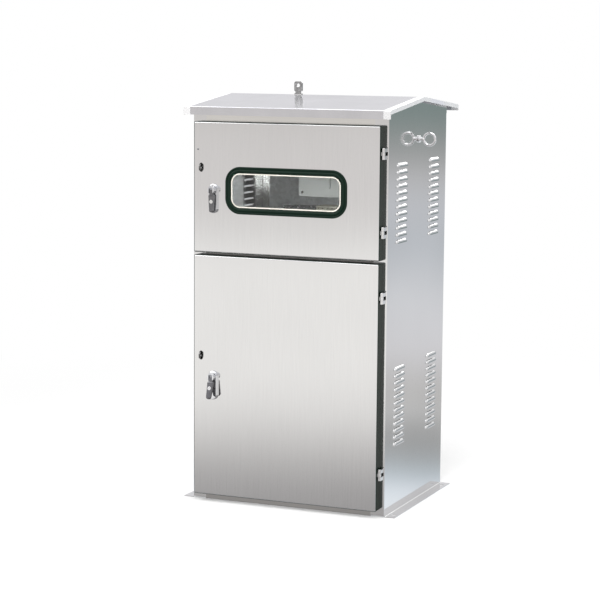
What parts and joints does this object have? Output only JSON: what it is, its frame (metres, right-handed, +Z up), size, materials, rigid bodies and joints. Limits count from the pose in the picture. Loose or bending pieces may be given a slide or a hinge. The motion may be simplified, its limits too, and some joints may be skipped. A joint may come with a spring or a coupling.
{
  "type": "low voltage distribution box",
  "caption": "Free-standing stainless distribution box with a gable roof, a windowed meter door above a tall breaker door, louvred sides, turn-lever locks and side lifting eyes.",
  "frame": {"origin": "middle of the four anchor holes, on the underside of the foot flanges", "axes": "+Z up, -Y towards the viewer of the doors, +X towards the hinge side"},
  "size_m": [0.7784, 0.6802, 1.342],
  "materials": {
    "stainless_body": "brushed stainless sheet with a soft mirror",
    "stainless_door": "brushed stainless sheet, horizontal grain",
    "stainless_roof": "brushed stainless sheet",
    "hinge_steel": "polished stainless",
    "chrome": "chromed zinc casting",
    "zinc": "zinc plated steel",
    "plate": "grey plated mounting plate",
    "rubber": "dark green-black rubber",
    "foam": "closed-cell sealing strip",
    "pane": "clear pane",
    "copper": "bare copper bar",
    "brass": "turned brass",
    "breaker": "moulded case",
    "toggle": "moulded handle",
    "insulator": "moulded red-brown insulator",
    "terminal": "moulded terminal",
    "gland": "moulded nylon"
  },
  "bodies": {
    "cabinet": {"right_side_panel": "stainless_body", "left_side_panel": "stainless_body", "back_panel": "stainless_body", "header_rail": "stainless_body", "mid_rail": "stainless_body", "sill_rail": "stainless_body", "bottom_plate": "stainless_body", "partition_shelf": "stainless_body", "top_tray": "stainless_body", "padlock_eyes": "stainless_body", "roof": "stainless_roof", "roof_lug": "stainless_roof", "frame_hinge_leaves": "hinge_steel", "hinge_pins": "hinge_steel", "eye_bolts": "hinge_steel", "eye_bolt_nuts": "zinc", "plate_standoffs": "zinc", "plate_bolts": "zinc", "meter_rail": "zinc", "lower_mounting_plate": "plate", "upper_mounting_plate": "plate", "bar_screws": "brass", "phase_busbars": "copper", "feeder_links": "copper", "branch_links": "copper", "neutral_bar": "copper", "earth_bar": "copper", "main_breaker_case": "breaker", "outgoing_breaker_cases": "breaker", "busbar_supports": "insulator", "neutral_insulators": "insulator", "meter_terminals": "terminal", "incoming_gland": "gland", "outgoing_glands": "gland", "gland_locknuts": "gland"},
    "upper_door": {"upper_door_panel": "stainless_door", "upper_door_seal": "foam", "window_gasket": "rubber", "window_pane": "pane", "upper_hinge_leaves": "hinge_steel", "upper_lock_housing": "chrome"},
    "lower_door": {"lower_door_panel": "stainless_door", "lower_door_seal": "foam", "lower_door_stiffener": "stainless_door", "lower_hinge_leaves": "hinge_steel", "lower_lock_housing": "chrome"},
    "upper_lock_barrel": {"upper_lock_spindle": "chrome", "upper_lock_cam": "zinc"},
    "lower_lock_barrel": {"lower_lock_spindle": "chrome", "lower_lock_cam": "zinc"},
    "upper_lever": {"upper_lock_lever": "chrome"},
    "lower_lever": {"lower_lock_lever": "chrome"},
    "upper_key": {"upper_key_barrel": "brass"},
    "lower_key": {"lower_key_barrel": "brass"},
    "main_toggle": {"main_breaker_toggle": "toggle"},
    "outgoing_toggle_1": {"outgoing_toggle_1": "toggle"},
    "outgoing_toggle_2": {"outgoing_toggle_2": "toggle"},
    "outgoing_toggle_3": {"outgoing_toggle_3": "toggle"}
  },
  "joints": [
    {"name": "upper_door_hinge", "type": "hinge", "parent": "cabinet", "child": "upper_door", "pos_m": [0.3215, -0.292, 1.0135], "axis": [0, 0, 1], "range_deg": [0, 120]},
    {"name": "upper_lock_turn", "type": "hinge", "parent": "upper_door", "child": "upper_lock_barrel", "pos_m": [-0.244, -0.312, 1.006], "axis": [0, -1, 0], "range_deg": [0, 90]},
    {"name": "upper_lever_lift", "type": "hinge", "parent": "upper_lock_barrel", "child": "upper_lever", "pos_m": [-0.244, -0.318, 1.006], "axis": [-1, 0, 0], "range_deg": [0, 35]},
    {"name": "upper_key_turn", "type": "hinge", "parent": "upper_lever", "child": "upper_key", "pos_m": [-0.244, -0.318, 0.969], "axis": [0, -1, 0], "range_deg": [0, 90]},
    {"name": "lower_door_hinge", "type": "hinge", "parent": "cabinet", "child": "lower_door", "pos_m": [0.3215, -0.292, 0.41], "axis": [0, 0, 1], "range_deg": [0, 120]},
    {"name": "lower_lock_turn", "type": "hinge", "parent": "lower_door", "child": "lower_lock_barrel", "pos_m": [-0.244, -0.312, 0.409], "axis": [0, -1, 0], "range_deg": [0, 90]},
    {"name": "lower_lever_lift", "type": "hinge", "parent": "lower_lock_barrel", "child": "lower_lever", "pos_m": [-0.244, -0.318, 0.409], "axis": [-1, 0, 0], "range_deg": [-18, 17]},
    {"name": "lower_key_turn", "type": "hinge", "parent": "lower_lever", "child": "lower_key", "pos_m": [-0.244, -0.32943, 0.37381], "axis": [0, -0.9511, 0.309], "range_deg": [0, 90]},
    {"name": "main_switch", "type": "hinge", "parent": "cabinet", "child": "main_toggle", "pos_m": [0, 0.149, 0.62], "axis": [-1, 0, 0], "range_deg": [0, 36]},
    {"name": "outgoing_switch_1", "type": "hinge", "parent": "cabinet", "child": "outgoing_toggle_1", "pos_m": [-0.16, 0.167, 0.315], "axis": [-1, 0, 0], "range_deg": [0, 36]},
    {"name": "outgoing_switch_2", "type": "hinge", "parent": "cabinet", "child": "outgoing_toggle_2", "pos_m": [0, 0.167, 0.315], "axis": [-1, 0, 0], "range_deg": [0, 36]},
    {"name": "outgoing_switch_3", "type": "hinge", "parent": "cabinet", "child": "outgoing_toggle_3", "pos_m": [0.16, 0.167, 0.315], "axis": [-1, 0, 0], "range_deg": [0, 36]}
  ]
}
